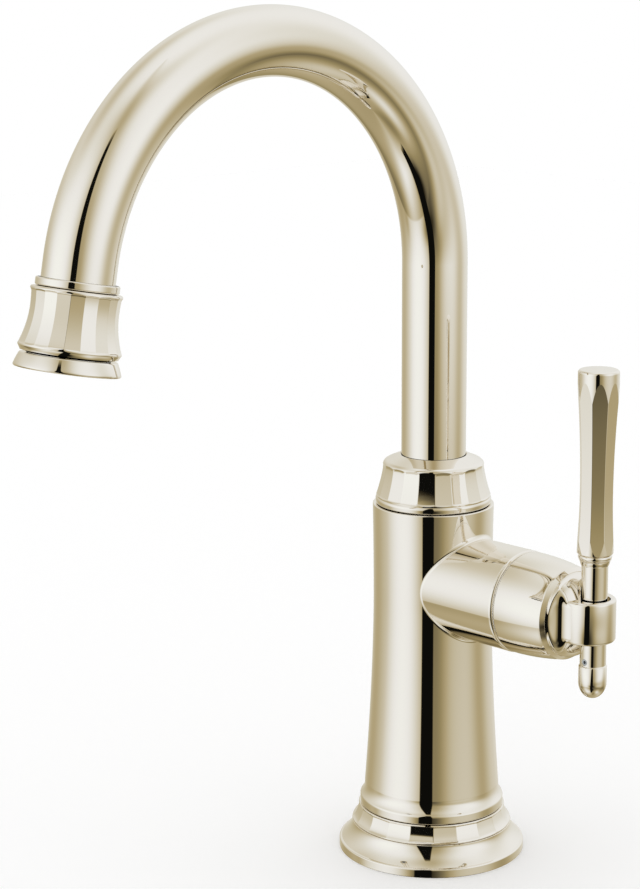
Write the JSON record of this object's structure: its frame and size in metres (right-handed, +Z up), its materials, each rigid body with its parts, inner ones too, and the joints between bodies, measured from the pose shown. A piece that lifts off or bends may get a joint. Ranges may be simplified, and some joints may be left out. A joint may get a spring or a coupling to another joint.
{
  "type": "beverage faucet",
  "caption": "Deck-mounted beverage faucet: waisted column, swivelling gooseneck spout with a flared outlet and a quarter-turn lever on a side hub.",
  "frame": {"origin": "centre of the flange's underside, on the deck", "axes": "+Z up along the column, +X along the handle's axis away from the column, -Y the way the spout points at rest"},
  "size_m": [0.1006, 0.1858, 0.3551],
  "materials": {
    "polished_nickel": "mirror-polished nickel plate with a warm tint",
    "brass": "machined brass",
    "copper": "drawn copper tube",
    "plain_steel": "zinc-plated steel",
    "black_rubber": "moulded rubber",
    "ceramic": "lapped white ceramic",
    "white_plastic": "moulded acetal",
    "grey_plastic": "moulded plastic"
  },
  "bodies": {
    "column": {"deck_flange": "polished_nickel", "deck_gasket": "black_rubber", "base_ring": "polished_nickel", "body_column": "polished_nickel", "mounting_shank": "brass", "sealing_washer": "black_rubber", "clamp_washer": "plain_steel", "mounting_nut": "brass", "supply_tube": "copper", "inlet_nipple": "brass", "seat_seal": "black_rubber", "cartridge_body": "brass", "fixed_disc": "ceramic", "bonnet_nut": "brass", "hub_washer": "white_plastic", "spout_glide_ring": "white_plastic", "spout_screw": "plain_steel"},
    "handle": {"moving_disc": "ceramic", "valve_stem": "brass", "stem_o_rings": "black_rubber", "handle_hub": "polished_nickel", "hub_screw": "plain_steel", "lever_stem": "polished_nickel", "lever_grip": "polished_nickel", "grip_ferrule": "polished_nickel", "lever_finial": "polished_nickel", "finial_screw": "plain_steel"},
    "spout": {"spout_tube": "polished_nickel", "spout_stub": "brass", "stub_o_rings": "black_rubber", "spout_collar": "polished_nickel", "outlet_neck_ring": "polished_nickel", "outlet_bell": "polished_nickel", "aerator_ring": "polished_nickel", "aerator_body": "white_plastic", "aerator_grid": "grey_plastic", "aerator_screen": "plain_steel", "aerator_gasket": "black_rubber"}
  },
  "joints": [
    {"name": "spout_swivel", "type": "hinge", "parent": "column", "child": "spout", "pos_m": [0, 0, 0.105], "axis": [0, 0, 1], "continuous": true},
    {"name": "handle_turn", "type": "hinge", "parent": "column", "child": "handle", "pos_m": [0.045, 0, 0.0884], "axis": [1, 0, 0], "range_deg": [0, 90]}
  ]
}
